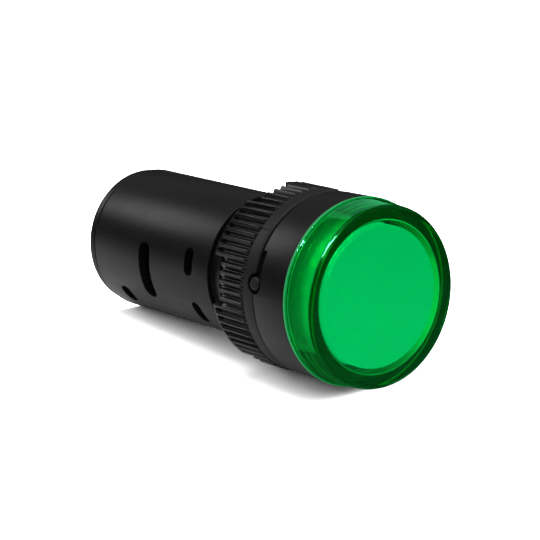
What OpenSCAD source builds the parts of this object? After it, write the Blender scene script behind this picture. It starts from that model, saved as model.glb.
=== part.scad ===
// Panel pilot light for a 22 mm hole: moulded housing, clear lens, LED boards,
// two rear screw terminals, rubber gasket and ribbed mounting nut.
// Millimetres. The axis of the light is Y, +Z is up. The origin is on the axis,
// in the plane of the panel's front face. The lens points to -Y.

/* [Housing barrel] */
// Outer diameter of the smooth barrel
barrel_d = 21.6; // [21:0.1:22]
// Wall thickness of the barrel
barrel_wall = 1.4; // [1.2:0.1:1.6]
// Distance from the panel face to the rear end of the barrel
barrel_reach = 40.8; // [40:0.2:60]
// Chamfer at the rear end of the barrel
barrel_chamfer = 0.25; // [0.1:0.05:0.4]

/* [Thread] */
// Crest diameter of the thread
thread_d = 22.2; // [22:0.05:22.25]
// Depth of the thread
thread_depth = 0.75; // [0.5:0.05:0.8]
// Thread pitch
thread_pitch = 1.5; // [1:0.25:2]
// Distance from the panel face to the end of the thread
thread_reach = 9.8; // [9.4:0.2:14]
// Width of the plain groove between the thread and the barrel
relief_w = 1.8; // [1:0.1:2.4]
// Depth of that groove below the barrel's surface
relief_depth = 0.85; // [0.6:0.05:0.9]

/* [Bezel] */
// How far the bezel stands out past the thread's crest, at the lens
bezel_overhang = 2.4; // [2.2:0.1:4]
// How much smaller the bezel's diameter is at the gasket
bezel_flare = 0.3; // [0:0.05:1]
// Length of the bezel along the axis
bezel_h = 6.9; // [6.5:0.1:9]
// Wall of the bezel round the pocket that takes the lens
bezel_wall = 1.4; // [1.2:0.05:1.6]
// Depth of the lens pocket
pocket_depth = 4.6; // [4.2:0.1:5.5]
// Angle of the locating nub, from straight down towards -X
nub_angle = 101; // [0:1:359]
// Width of the wide keyway in the rear edge of the bezel
keyway_w = 1.4; // [1.2:0.1:2]
// Width of the narrow keyway that follows the wide one
slit_w = 0.6; // [0.5:0.1:1.1]
// Radial depth of the wide keyway
keyway_depth = 0.9; // [0.6:0.1:1.2]
// Radial depth of the narrow keyway
slit_depth = 0.7; // [0.4:0.1:0.8]
// Length of the wide keyway in degrees
keyway_arc = 21; // [15:1:60]
// Length of the narrow keyway in degrees
slit_arc = 79; // [20:1:90]

/* [Vents] */
// Distance from the panel face to the front vents
front_vent_y = 16.4; // [15:0.1:20]
// Width of the front vents
front_vent_w = 2; // [1:0.1:2.5]
// Length of each front vent in degrees
front_vent_arc = 22.5; // [10:0.5:30]
// Angle of the first front vent
front_vent_angle = 101; // [95:1:115]
// Angle between neighbouring front vents
front_vent_pitch = 45; // [35:1:50]
// Distance from the panel face to the long vent
long_vent_y = 27.6; // [27.5:0.1:28.5]
// Width of the long vent
long_vent_w = 2.8; // [2:0.1:2.9]
// Length of the long vent in degrees
long_vent_arc = 48; // [30:1:60]
// Angle of the middle of the long vent
long_vent_angle = 83.5; // [70:0.5:95]
// Distance from the panel face to the small rear vent, over the plug of the cap
rear_vent_y = 35.2; // [34.5:0.1:36.5]
// Width of the small rear vent
rear_vent_w = 2.4; // [1:0.1:2.6]
// Length of the small rear vent in degrees
rear_vent_arc = 18; // [15:0.5:30]
// Angle of the middle of the small rear vent
rear_vent_angle = 53.5; // [40:0.5:60]

/* [Gasket] */
// Thickness of the gasket
gasket_h = 2.5; // [2:0.1:3.5]
// Diameter of the locating nub
nub_d = 2.4; // [1.6:0.1:2.6]
// How far the nub's middle lies ahead of the gasket's front face
nub_lead = 0.1; // [0:0.05:0.6]

/* [Mounting nut] */
// How far the ribs stay inside the bezel's front edge
nut_inset = 0.05; // [0:0.05:0.3]
// Height of the nut
nut_h = 7.2; // [6:0.1:9]
// Number of grooves between the ribs
groove_count = 65; // [40:5:70]
// Width of each groove at the surface
groove_w = 0.72; // [0.5:0.02:0.8]
// Depth of each groove
groove_depth = 0.5; // [0.3:0.05:0.7]
// Number of spanner notches in the rear face
notch_count = 5; // [3:1:6]
// Width of each notch in degrees
notch_arc = 31; // [15:1:35]
// Depth of each notch along the axis
notch_depth = 2; // [1:0.1:3]
// Angle of the middle of the first notch
notch_angle = 96.5; // [0:0.5:359]
// Chamfer on the edges of the nut
nut_chamfer = 0.35; // [0.1:0.05:0.5]

/* [Lens] */
// How much smaller the lens is at its front face
lens_taper = 1.1; // [0:0.1:2]
// Height of the lens ahead of the bezel
lens_h = 5.4; // [5:0.1:8]
// Thickness of the front wall
lens_face = 1.1; // [0.8:0.1:1.5]
// Radius of the rounded front edge
lens_round = 0.7; // [0.3:0.05:1]
// Wall thickness of the skirt that enters the pocket
skirt_wall = 1; // [0.8:0.05:1.2]
// Height of the snap bead on the skirt
bead_h = 0.15; // [0.1:0.01:0.2]

/* [Diffuser] */
// Radial gap between the diffuser cup and the lens
diffuser_gap = 0.9; // [0.4:0.05:1.2]
// Wall thickness of the diffuser
diffuser_wall = 1; // [0.6:0.1:1.2]

/* [Boards] */
// Thickness of both boards
board_t = 1.6; // [1:0.1:1.6]
// Diameter of the ring of LEDs
led_ring_d = 12.4; // [10:0.2:14]
// Diameter of an LED
led_d = 3; // [2.8:0.1:3.2]
// Height of an LED
led_h = 4.6; // [3.8:0.1:5.2]
// Gap between the round board and the front edge of the long board
board_gap = 1.6; // [1.2:0.1:2.5]
// Width of the rim at the foot of an LED
led_rim_w = 0.4; // [0.2:0.05:0.6]
// Height of the rim at the foot of an LED
led_rim_h = 1; // [0.6:0.1:1.4]
// Distance between the two leads of an LED
led_lead_pitch = 2.54; // [2:0.02:3]
// Diameter of a component lead
lead_d = 0.5; // [0.4:0.05:0.6]
// Diameter of the pins that join the two boards
pin_d = 0.8; // [0.6:0.1:1]
// Distance of each pin from the axis
pin_z = 3.8; // [3:0.1:3.9]
// Length of the pins beside the long board
pin_tail = 4; // [3:0.1:5]

/* [Components] */
// Height of the film capacitor above its board
film_h = 6.4; // [5:0.1:6.8]
// Width of the film capacitor
film_w = 6; // [4:0.1:6.4]
// Length of the film capacitor along the axis
film_l = 10; // [8:0.5:10]
// Diameter of the electrolytic capacitor
can_d = 6.3; // [5:0.1:6.5]
// Height of the electrolytic capacitor
can_h = 7; // [5:0.1:7.2]
// Length of the bridge rectifier along the axis
bridge_l = 6.4; // [5:0.1:7]
// Width of the bridge rectifier
bridge_w = 7; // [6:0.1:8]
// Height of the bridge rectifier
bridge_h = 2.5; // [2:0.1:3.5]
// Body diameter of a resistor
resistor_d = 2.4; // [1.8:0.1:2.8]
// Body length of a resistor
resistor_l = 6.4; // [5:0.1:7]

/* [Terminal cap] */
// How far the rim stays inside the barrel's outer wall
rim_step = 0.3; // [0.1:0.05:0.6]
// Thickness of the rim
rim_h = 2.05; // [1.6:0.05:3]
// Radius of the rim's rear edge
rim_round = 0.5; // [0.2:0.05:0.8]
// Depth of the plug inside the barrel
plug_h = 7.8; // [7:0.1:9]
// Thickness of the floor under the terminals
floor_t = 2.2; // [1.6:0.1:2.6]
// Diameter of each terminal well
well_d = 7.8; // [7.6:0.1:8]
// Thickness of the web between the two wells
well_web = 1.2; // [1:0.1:1.4]
// Width of the wire entry beside each screw
wire_w = 3.2; // [2.5:0.1:3.6]
// Reach of the wire entry from the middle of the well
wire_reach = 6.2; // [5:0.1:6.4]

/* [Terminals] */
// Thickness of the terminal plates
plate_t = 0.8; // [0.6:0.05:1]
// Side of the square terminal plates
plate_w = 5; // [4.6:0.1:5.1]
// Diameter of the threaded boss
boss_d = 4.2; // [4:0.1:4.6]
// Length of the threaded boss
boss_h = 3; // [2.6:0.1:4]
// Thickness of the leg that meets the long board
leg_t = 0.7; // [0.5:0.05:0.8]
// Width of the leg
leg_w = 2.2; // [1.6:0.1:2.4]
// Length of the leg beside the long board
leg_lap = 3; // [2:0.1:5]
// Thickness of the square clamp washers
washer_t = 0.8; // [0.6:0.05:1]
// Side of the square clamp washers
washer_w = 4.9; // [4.6:0.1:5.1]
// Shank diameter of the terminal screws
screw_d = 2.9; // [2.8:0.05:3]
// Shank length of the terminal screws
screw_l = 6; // [5:0.1:7]
// Head diameter of the terminal screws
head_d = 5; // [4.6:0.1:5.2]
// Head height of the terminal screws
head_h = 1.9; // [1.6:0.1:2.2]
// Depth of the cross recess
recess_depth = 1.1; // [0.8:0.1:1.3]
// Width of the blades of the cross recess
recess_w = 0.6; // [0.5:0.05:0.8]

/* [Clearances] */
// Radial gap between the nut and the thread
nut_gap = 0.2; // [0.15:0.05:0.3]
// Radial gap between the gasket and the thread
gasket_gap = 0.1; // [0.05:0.05:0.2]
// Radial gap of pieces that plug into a bore
plug_gap = 0.1; // [0.05:0.01:0.15]
// Radial gap of leads, pins and screws in their holes
hole_gap = 0.1; // [0.05:0.01:0.12]
// Gap round the locating nub in its seat
nub_gap = 0.3; // [0.2:0.05:0.5]
// Gap between a board and its guide rails
rail_gap = 0.1; // [0.05:0.01:0.15]

/* [Hidden] */
$fn = 96;
cut = 0.2;

// places along the axis, as distances behind the panel face
bezel_rear = -gasket_h;
bezel_front = bezel_rear - bezel_h;
lens_front = bezel_front - lens_h;
pocket_floor = bezel_front + pocket_depth;
board_face = pocket_floor - board_t;
long_board_front = pocket_floor + board_gap;
barrel_front = thread_reach + relief_w;
plug_front = barrel_reach - plug_h;
long_board_rear = plug_front - plug_gap;
plate_seat = plug_front + floor_t;
washer_seat = plate_seat + plate_t;
head_seat = washer_seat + washer_t;
cap_rear = barrel_reach + rim_h;

// radii shared by pieces that fit each other
barrel_r = barrel_d / 2;
bore_r = barrel_r - barrel_wall;
thread_r = thread_d / 2;
root_r = thread_r - thread_depth;
relief_r = barrel_r - relief_depth;
bezel_front_r = thread_r + bezel_overhang;
bezel_rear_r = bezel_front_r - bezel_flare / 2;
nut_r = bezel_front_r - nut_inset;
lens_front_r = bezel_front_r - lens_taper / 2;
pocket_r = bezel_front_r - bezel_wall;
skirt_r = pocket_r - plug_gap;
lens_bore_r = skirt_r - skirt_wall;
diffuser_r = lens_bore_r - diffuser_gap;
rim_r = barrel_r - rim_step;
well_r = well_d / 2;
terminal_pitch = well_d + well_web;
led_ring_r = led_ring_d / 2;
led_count = 6;
lead_r = lead_d / 2;
lead_hole_r = lead_r + hole_gap;

// the long board stands in the YZ plane, between guide rails at its two edges
long_board_w = 2 * (bore_r - rail_gap - board_t * board_t / 8 / bore_r);
rail_t = 0.9;
rail_depth = 1.1;
pin_r = pin_d / 2;

// components sit on the two faces of the long board
can_y = long_board_front + pin_tail + can_d / 2 + 1;
bridge_y = can_y + can_d / 2 + bridge_l / 2 + 1.2;
film_y = bridge_y + bridge_l / 2 + film_l / 2;
resistor_y = bridge_y + bridge_l / 2 + resistor_l / 2 + 2.2;
resistor_z = 3.6;
resistor_bend = 1;
film_pitch = film_l - 3;
can_pitch = 2.5;
bridge_pitch_y = bridge_l - 1.6;
bridge_pitch_z = bridge_w - 1.8;
lead_tail = 0.8;

// local frame with Z along the light's axis, X kept and Y straight down
module on_axis() {
    rotate([-90, 0, 0])
        children();
}

// ring of the given section: a flat shape in radius and axial distance
module turned() {
    rotate_extrude()
        children();
}

// sector of a ring, from angle a1 to angle a2, measured from straight down towards -X
module turned_sector(a1, a2) {
    rotate([0, 0, a1 + 90])
        rotate_extrude(angle = a2 - a1)
            children();
}

// rectangle in radius and axial distance
module band(r1, r2, y1, y2) {
    translate([r1, y1])
        square([r2 - r1, y2 - y1]);
}

// cylinder along the axis, from y1 to y2
module rod(r, y1, y2) {
    translate([0, 0, y1])
        cylinder(r = r, h = y2 - y1);
}

// radial cylinder at an angle, from radius r1 to r2
module spoke(angle, y, r, r1, r2) {
    rotate([0, 0, angle])
        translate([0, r1, y])
            rotate([-90, 0, 0])
                cylinder(r = r, h = r2 - r1);
}

// slot with round ends, cut straight through the barrel's wall at the given angle
module vent(angle, y, w, arc) {
    inner = bore_r * cos(arc / 2) - 1;
    half = barrel_r * sin(arc / 2) - w / 2;
    rotate([0, 0, angle])
        translate([0, inner, y])
            rotate([-90, 0, 0])
                linear_extrude(barrel_r + cut - inner) {
                    square([2 * half, w], center = true);
                    for (side = [-1, 1])
                        translate([side * half, 0])
                            circle(r = w / 2);
                }
}

// vents of one side of the barrel
module vent_group() {
    vent(front_vent_angle, front_vent_y, front_vent_w, front_vent_arc);
    vent(front_vent_angle - front_vent_pitch, front_vent_y, front_vent_w, front_vent_arc);
    vent(long_vent_angle, long_vent_y, long_vent_w, long_vent_arc);
    vent(rear_vent_angle, rear_vent_y, rear_vent_w, rear_vent_arc);
}

// outer section of the neck: one tooth for each turn of the thread
module thread_section() {
    crest_w = thread_pitch / 8;
    flank_w = thread_pitch * 3 / 8;
    turns = floor((thread_reach - bezel_rear) / thread_pitch);
    band(0, root_r, bezel_rear, thread_reach);
    band(0, relief_r, thread_reach - cut, barrel_front + cut);
    for (i = [0 : turns - 1]) {
        tooth = thread_reach - thread_pitch * (i + 0.5);
        polygon([
            [root_r - cut, tooth - crest_w / 2 - flank_w],
            [root_r, tooth - crest_w / 2 - flank_w],
            [thread_r, tooth - crest_w / 2],
            [thread_r, tooth + crest_w / 2],
            [root_r, tooth + crest_w / 2 + flank_w],
            [root_r - cut, tooth + crest_w / 2 + flank_w]
        ]);
    }
}

// outer section of the whole housing
module housing_section() {
    thread_section();
    polygon([
        [0, bezel_front],
        [bezel_front_r, bezel_front],
        [bezel_rear_r, bezel_rear],
        [0, bezel_rear]
    ]);
    polygon([
        [0, barrel_front],
        [barrel_r, barrel_front],
        [barrel_r, barrel_reach - barrel_chamfer],
        [barrel_r - barrel_chamfer, barrel_reach],
        [0, barrel_reach]
    ]);
}

// two pairs of rails that hold the edges of the long board
module guide_rails() {
    rail_x = board_t / 2 + rail_gap;
    rail_foot = sqrt(bore_r * bore_r - pow(rail_x + rail_t, 2));
    for (side = [-1, 1])
        for (edge = [-1, 1])
            translate([side * (rail_x + rail_t / 2) - rail_t / 2, edge * rail_foot - rail_depth, 0])
                cube([rail_t, 2 * rail_depth, plug_front - long_board_front]);
}

module housing() {
    color("#1b1b1d")
        on_axis()
            union() {
                difference() {
                    turned()
                        housing_section();
                    rod(pocket_r, bezel_front - cut, pocket_floor);
                    rod(bore_r, pocket_floor - cut, barrel_reach + cut);
                    turned()
                        bead_section(bead_h + plug_gap);
                    vent_group();
                    rotate([0, 0, 180])
                        vent_group();
                    keyways();
                }
                intersection() {
                    translate([0, 0, long_board_front])
                        guide_rails();
                    rod((bore_r + relief_r) / 2, long_board_front, plug_front);
                }
            }
}

// arc-shaped keyways in the rear edge of the bezel, with a round seat for the nub
module keyways() {
    outer = bezel_front_r + 1;
    wide_end = nub_angle + keyway_arc;
    turned_sector(nub_angle, wide_end)
        band(bezel_rear_r - keyway_depth, outer, bezel_rear - keyway_w, bezel_rear + cut);
    turned_sector(wide_end - 2, wide_end + slit_arc)
        band(bezel_rear_r - slit_depth, outer, bezel_rear - slit_w, bezel_rear + cut);
    spoke(nub_angle, bezel_rear - nub_lead, nub_d / 2 + nub_gap, bezel_rear_r - keyway_depth, outer);
}

// snap bead of the lens skirt, or with more height the groove that it snaps into
module bead_section(height) {
    bead_y = bezel_front + 1.4;
    polygon([
        [skirt_r - 0.4, bead_y - 0.4],
        [skirt_r, bead_y - 0.4],
        [skirt_r + height, bead_y],
        [skirt_r, bead_y + 0.4],
        [skirt_r - 0.4, bead_y + 0.4]
    ]);
}

module lens() {
    color("#00b050", 0.6)
        on_axis()
            turned() {
                difference() {
                    union() {
                        polygon([
                            [0, lens_front],
                            [lens_front_r - lens_round, lens_front],
                            [lens_front_r - lens_round, lens_front + lens_round],
                            [lens_front_r, lens_front + lens_round],
                            [bezel_front_r, bezel_front],
                            [0, bezel_front]
                        ]);
                        translate([lens_front_r - lens_round, lens_front + lens_round])
                            circle(r = lens_round);
                        band(0, skirt_r, bezel_front - cut, board_face);
                        bead_section(bead_h);
                    }
                    band(-cut, lens_bore_r, lens_front + lens_face, board_face + cut);
                    translate([-2 * lens_front_r, lens_front - cut])
                        square([2 * lens_front_r, 3 * lens_h]);
                }
            }
}

module diffuser() {
    front = lens_front + lens_face + plug_gap;
    color("#5fe08a")
        on_axis()
            turned()
                difference() {
                    band(0, diffuser_r, front, board_face);
                    band(-cut, diffuser_r - diffuser_wall, front + diffuser_wall, board_face + cut);
                }
}

// places of the two leads of each LED, and of the two board pins
module at_led(i) {
    rotate([0, 0, i * 360 / led_count])
        translate([led_ring_r, 0, 0])
            children();
}

module led_leads(r, y1, y2) {
    for (side = [-1, 1])
        translate([0, side * led_lead_pitch / 2, 0])
            rod(r, y1, y2);
}

module led_board() {
    color("#1c2420")
        on_axis()
            difference() {
                rod(skirt_r, board_face, pocket_floor);
                for (i = [1 : led_count])
                    at_led(i)
                        led_leads(lead_hole_r, board_face - cut, pocket_floor + cut);
                for (side = [-1, 1])
                    at_board_pin(side)
                        rod(pin_r + hole_gap, board_face - cut, pocket_floor + cut);
            }
}

module led(i) {
    dome_r = led_d / 2;
    color("#d8f5df")
        on_axis()
            at_led(i) {
                rod(dome_r + led_rim_w, board_face - led_rim_h, board_face);
                rod(dome_r, board_face - led_h + dome_r, board_face - led_rim_h + cut);
                translate([0, 0, board_face - led_h + dome_r])
                    sphere(r = dome_r);
                led_leads(lead_r, board_face - cut, pocket_floor + lead_tail);
            }
}

// the pins lie against one face of the long board
module at_board_pin(side) {
    translate([board_t / 2 + pin_r, side * pin_z, 0])
        children();
}

module board_pin(side) {
    color("#c9c9c9")
        on_axis()
            at_board_pin(side)
                rod(pin_r, board_face - 0.6, long_board_front + pin_tail);
}

// leads of one component, at the given places on the long board (y, z)
module lead_grid(places, r, x1, x2) {
    for (p = places)
        translate([x1, p[1], p[0]])
            rotate([0, 90, 0])
                cylinder(r = r, h = x2 - x1);
}

film_leads = [for (s = [-1, 1]) [film_y + s * film_pitch / 2, 0]];
can_leads = [for (s = [-1, 1]) [can_y, s * can_pitch / 2]];
bridge_leads = [for (s = [-1, 1]) for (t = [-1, 1]) [bridge_y + s * bridge_pitch_y / 2, t * bridge_pitch_z / 2]];

function resistor_leads(side) =
    [for (s = [-1, 1]) [resistor_y + s * (resistor_l / 2 + resistor_bend), side * resistor_z]];

module power_board() {
    all_leads = concat(film_leads, can_leads, bridge_leads, resistor_leads(-1), resistor_leads(1));
    color("#b98a4a")
        on_axis()
            difference() {
                translate([-board_t / 2, -long_board_w / 2, long_board_front])
                    cube([board_t, long_board_w, long_board_rear - long_board_front]);
                lead_grid(all_leads, lead_hole_r, -board_t, board_t);
            }
}

module film_capacitor() {
    color("#a8322a")
        on_axis() {
            translate([-board_t / 2 - film_h, -film_w / 2, film_y - film_l / 2])
                cube([film_h, film_w, film_l]);
            lead_grid(film_leads, lead_r, -board_t / 2 - cut, board_t / 2 + lead_tail);
        }
}

module electrolytic_capacitor() {
    color("#20242c")
        on_axis() {
            translate([board_t / 2, 0, can_y])
                rotate([0, 90, 0])
                    rotate_extrude()
                        difference() {
                            square([can_d / 2, can_h]);
                            translate([can_d / 2 + 0.1, 1.4])
                                circle(r = 0.35);
                        }
            lead_grid(can_leads, lead_r, -board_t / 2 - lead_tail, board_t / 2 + cut);
        }
}

module bridge_rectifier() {
    color("#18181a")
        on_axis() {
            translate([board_t / 2, -bridge_w / 2, bridge_y - bridge_l / 2])
                cube([bridge_h, bridge_w, bridge_l]);
            lead_grid(bridge_leads, lead_r, -board_t / 2 - lead_tail, board_t / 2 + cut);
        }
}

// axial resistor lying on the long board, with both leads bent into the board
module resistor(side) {
    body_x = board_t / 2 + resistor_d / 2;
    half = resistor_l / 2 + resistor_bend;
    color("#7fb2c9")
        on_axis() {
            translate([body_x, side * resistor_z, resistor_y - resistor_l / 2])
                cylinder(r = resistor_d / 2, h = resistor_l);
            translate([body_x, side * resistor_z, resistor_y - half])
                cylinder(r = lead_r, h = 2 * half);
            lead_grid(resistor_leads(side), lead_r, -board_t / 2 - lead_tail, body_x);
        }
}

module at_terminal(side) {
    translate([side * terminal_pitch / 2, 0, 0])
        children();
}

// distance from the middle of a terminal to the near and far faces of its leg
leg_near = terminal_pitch / 2 - board_t / 2;
leg_far = leg_near - leg_t;

// leg of one terminal, or with a gap the slot that it passes through
module leg_block(side, gap, y1, y2) {
    x1 = leg_far - gap;
    x2 = leg_near;
    translate([side > 0 ? -x2 : x1, -leg_w / 2 - gap, y1])
        cube([x2 - x1, leg_w + 2 * gap, y2 - y1]);
}

module terminal_cap() {
    plug_r = bore_r - plug_gap;
    color("#202022")
        on_axis()
            difference() {
                turned() {
                    band(0, plug_r, plug_front, barrel_reach + cut);
                    band(0, rim_r, barrel_reach, cap_rear - rim_round);
                    band(0, rim_r - rim_round, barrel_reach, cap_rear);
                    translate([rim_r - rim_round, cap_rear - rim_round])
                        circle(r = rim_round);
                }
                for (side = [-1, 1])
                    at_terminal(side) {
                        rod(well_r, plate_seat, cap_rear + cut);
                        rod(boss_d / 2 + hole_gap, plug_front - cut, plate_seat + cut);
                        leg_block(side, hole_gap, plug_front - cut, plate_seat + cut);
                        translate([-wire_w / 2, 0, head_seat - washer_t])
                            cube([wire_w, wire_reach, cap_rear - head_seat + washer_t + cut]);
                    }
            }
}

module terminal(side) {
    color("#c8a24c")
        on_axis()
            at_terminal(side)
                difference() {
                    union() {
                        translate([-plate_w / 2, -plate_w / 2, plate_seat])
                            cube([plate_w, plate_w, plate_t]);
                        rod(boss_d / 2, plate_seat - boss_h, plate_seat + cut);
                        leg_block(side, 0, long_board_rear - leg_lap, plate_seat + plate_t);
                        translate([side > 0 ? -leg_near : 0, -leg_w / 2, plate_seat])
                            cube([leg_near, leg_w, plate_t]);
                    }
                    rod(screw_d / 2 + hole_gap, plate_seat - boss_h - cut, washer_seat + cut);
                }
}

module clamp_washer(side) {
    color("#c9c9c9")
        on_axis()
            at_terminal(side)
                difference() {
                    translate([-washer_w / 2, -washer_w / 2, washer_seat])
                        cube([washer_w, washer_w, washer_t]);
                    rod(screw_d / 2 + hole_gap, washer_seat - cut, head_seat + cut);
                }
}

module terminal_screw(side) {
    head_r = head_d / 2;
    head_top = head_seat + head_h;
    color("#c9c9c9")
        on_axis()
            at_terminal(side)
                difference() {
                    union() {
                        rod(screw_d / 2, head_seat - screw_l, head_seat + cut);
                        turned() {
                            band(0, head_r, head_seat, head_top - 0.4);
                            band(0, head_r - 0.4, head_seat, head_top);
                            translate([head_r - 0.4, head_top - 0.4])
                                circle(r = 0.4);
                        }
                    }
                    for (turn = [0, 90])
                        rotate([0, 0, turn])
                            translate([-head_d * 0.3, -recess_w / 2, head_top - recess_depth])
                                cube([head_d * 0.6, recess_w, recess_depth + cut]);
                }
}

module gasket() {
    color("#232324")
        on_axis() {
            turned()
                band(thread_r + gasket_gap, bezel_rear_r, bezel_rear, 0);
            intersection() {
                spoke(nub_angle, bezel_rear - nub_lead, nub_d / 2, bezel_rear_r - 0.6, bezel_rear_r + 1);
                turned()
                    band(bezel_rear_r - 0.6, bezel_rear_r + 0.12, bezel_rear - nub_d, 0);
            }
        }
}

// flat outline of the nut with a groove between every two ribs
module ribbed_outline() {
    floor_w = groove_w * 0.4;
    difference() {
        circle(r = nut_r);
        for (i = [0 : groove_count - 1])
            rotate(i * 360 / groove_count)
                polygon([
                    [nut_r - groove_depth, -floor_w / 2],
                    [nut_r + cut, -groove_w * 0.6],
                    [nut_r + cut, groove_w * 0.6],
                    [nut_r - groove_depth, floor_w / 2]
                ]);
    }
}

// section that gives the nut its bore and its chamfered edges
module nut_section() {
    polygon([
        [thread_r + nut_gap, 0],
        [nut_r - nut_chamfer, 0],
        [nut_r, nut_chamfer],
        [nut_r, nut_h - nut_chamfer],
        [nut_r - nut_chamfer, nut_h],
        [thread_r + nut_gap, nut_h]
    ]);
}

module mounting_nut() {
    color("#1d1d1f")
        on_axis()
            difference() {
                intersection() {
                    linear_extrude(nut_h)
                        ribbed_outline();
                    turned()
                        nut_section();
                }
                for (i = [0 : notch_count - 1])
                    rotate([0, 0, i * 360 / notch_count])
                        turned_sector(notch_angle - notch_arc / 2, notch_angle + notch_arc / 2)
                            band(thread_r, nut_r + cut, nut_h - notch_depth, nut_h + cut);
            }
}

housing();
lens();
diffuser();
led_board();
led(1);  // led_1
led(2);  // led_2
led(3);  // led_3
led(4);  // led_4
led(5);  // led_5
led(6);  // led_6
board_pin(-1);  // board_pin_1
board_pin(1);  // board_pin_2
power_board();
film_capacitor();
electrolytic_capacitor();
bridge_rectifier();
resistor(-1);  // resistor_1
resistor(1);  // resistor_2
terminal_cap();
terminal(-1);  // terminal_1
terminal(1);  // terminal_2
clamp_washer(-1);  // clamp_washer_1
clamp_washer(1);  // clamp_washer_2
terminal_screw(-1);  // terminal_screw_1
terminal_screw(1);  // terminal_screw_2
gasket();
mounting_nut();
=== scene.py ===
"""Panel pilot light: the looks of a 22 mm light with a green lens.

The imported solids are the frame. The visible mouldings are modelled again with fine
edges and fitted over them, and every solid that stays gets its own finish.
All lengths in the dataclasses are millimetres. The light's axis is Y, the lens
faces -Y, and angles round the axis run from straight down towards -X.
"""

import logging  # noqa: E402
import math  # noqa: E402
from dataclasses import dataclass, field  # noqa: E402
from enum import Enum  # noqa: E402
from typing import Any, Callable, Optional, Sequence  # noqa: E402

import bpy  # noqa: E402
from mathutils import Euler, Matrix, Vector  # noqa: E402


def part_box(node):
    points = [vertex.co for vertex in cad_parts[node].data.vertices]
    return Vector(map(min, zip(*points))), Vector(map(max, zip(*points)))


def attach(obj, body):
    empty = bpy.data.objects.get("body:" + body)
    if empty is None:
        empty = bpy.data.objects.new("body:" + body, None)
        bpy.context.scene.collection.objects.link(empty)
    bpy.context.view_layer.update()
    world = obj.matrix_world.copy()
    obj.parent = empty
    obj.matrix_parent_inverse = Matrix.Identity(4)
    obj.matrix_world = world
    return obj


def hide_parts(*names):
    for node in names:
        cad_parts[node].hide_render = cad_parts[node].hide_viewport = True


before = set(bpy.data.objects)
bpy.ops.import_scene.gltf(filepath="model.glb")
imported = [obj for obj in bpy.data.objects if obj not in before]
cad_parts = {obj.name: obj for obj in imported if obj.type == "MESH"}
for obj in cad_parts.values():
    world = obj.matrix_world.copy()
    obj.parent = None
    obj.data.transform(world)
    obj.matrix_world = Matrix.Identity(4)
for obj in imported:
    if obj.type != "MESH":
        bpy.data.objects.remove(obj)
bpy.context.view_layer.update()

LOG = logging.getLogger("pilot_light")
MM = 0.001
ROUND_STEPS = 192
PIN_STEPS = 48
# below this, two heights or radii are the same, in metres
SAME = 1e-6
# vertices closer than this are merged, in metres
WELD = 1e-7
# how far a cutter reaches past what it cuts
PAST = 1.0
Point = tuple[float, float]


class Body(Enum):
    """The rigid bodies of the frame that the modelled pieces ride on."""

    LIGHT = "light"
    NUT = "nut"


# ---------------------------------------------------------------- materials


def linear(colour: str) -> tuple[float, float, float, float]:
    """Turns an sRGB hex colour into a linear one.

    Args:
        colour: six hex digits.

    Returns:
        Red, green, blue and an alpha of 1.
    """
    channels = [int(colour[i:i + 2], 16) / 255 for i in (0, 2, 4)]
    values = [c / 12.92 if c <= 0.04045 else ((c + 0.055) / 1.055) ** 2.4 for c in channels]
    return (values[0], values[1], values[2], 1.0)


def add_node(
    tree: bpy.types.NodeTree,
    kind: str,
    values: Optional[dict[str | int, Any]] = None,
    links: Optional[dict[str | int, bpy.types.NodeSocket]] = None,
    **attributes: Any,
) -> bpy.types.Node:
    """Adds a node with its settings and links.

    Args:
        tree: the node tree of a material or world.
        kind: Blender's name of the node type.
        values: input name or number to its constant value.
        links: input name or number to the output that feeds it.
        attributes: settings of the node itself.

    Returns:
        The new node.
    """
    node = tree.nodes.new(kind)
    for name, value in attributes.items():
        setattr(node, name, value)
    for name, value in (values or {}).items():
        node.inputs[name].default_value = value
    for name, socket in (links or {}).items():
        tree.links.new(socket, node.inputs[name])
    return node


def new_tree(name: str) -> tuple[bpy.types.Material, bpy.types.NodeTree, bpy.types.NodeSocket]:
    """Makes an empty material.

    Args:
        name: the finish's name.

    Returns:
        The material, its cleared node tree and the place on the object, in metres.
    """
    material = bpy.data.materials.new(name)
    material.use_nodes = True
    tree = material.node_tree
    tree.nodes.clear()
    return material, tree, add_node(tree, "ShaderNodeTexCoord").outputs["Object"]


def noise(
    tree: bpy.types.NodeTree, place: bpy.types.NodeSocket, size_mm: float, detail: float
) -> bpy.types.NodeSocket:
    """Adds a soft random pattern.

    Args:
        tree: the node tree.
        place: where the pattern is read.
        size_mm: the size of its patches.
        detail: how much finer pattern it holds.

    Returns:
        The pattern, from 0 to 1.
    """
    values = {"Scale": 1000 / size_mm, "Detail": detail}
    return add_node(tree, "ShaderNodeTexNoise", values, {"Vector": place}).outputs["Fac"]


def blend(
    tree: bpy.types.NodeTree, colours: tuple[str, str], pattern: bpy.types.NodeSocket
) -> bpy.types.NodeSocket:
    """Blends two sRGB colours by a pattern.

    Args:
        tree: the node tree.
        colours: the colours where the pattern is 0 and 1.
        pattern: values from 0 to 1.

    Returns:
        The blended colour.
    """
    values = {"A": linear(colours[0]), "B": linear(colours[1])}
    return add_node(tree, "ShaderNodeMix", values, {"Factor": pattern}, data_type="RGBA").outputs["Result"]


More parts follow.
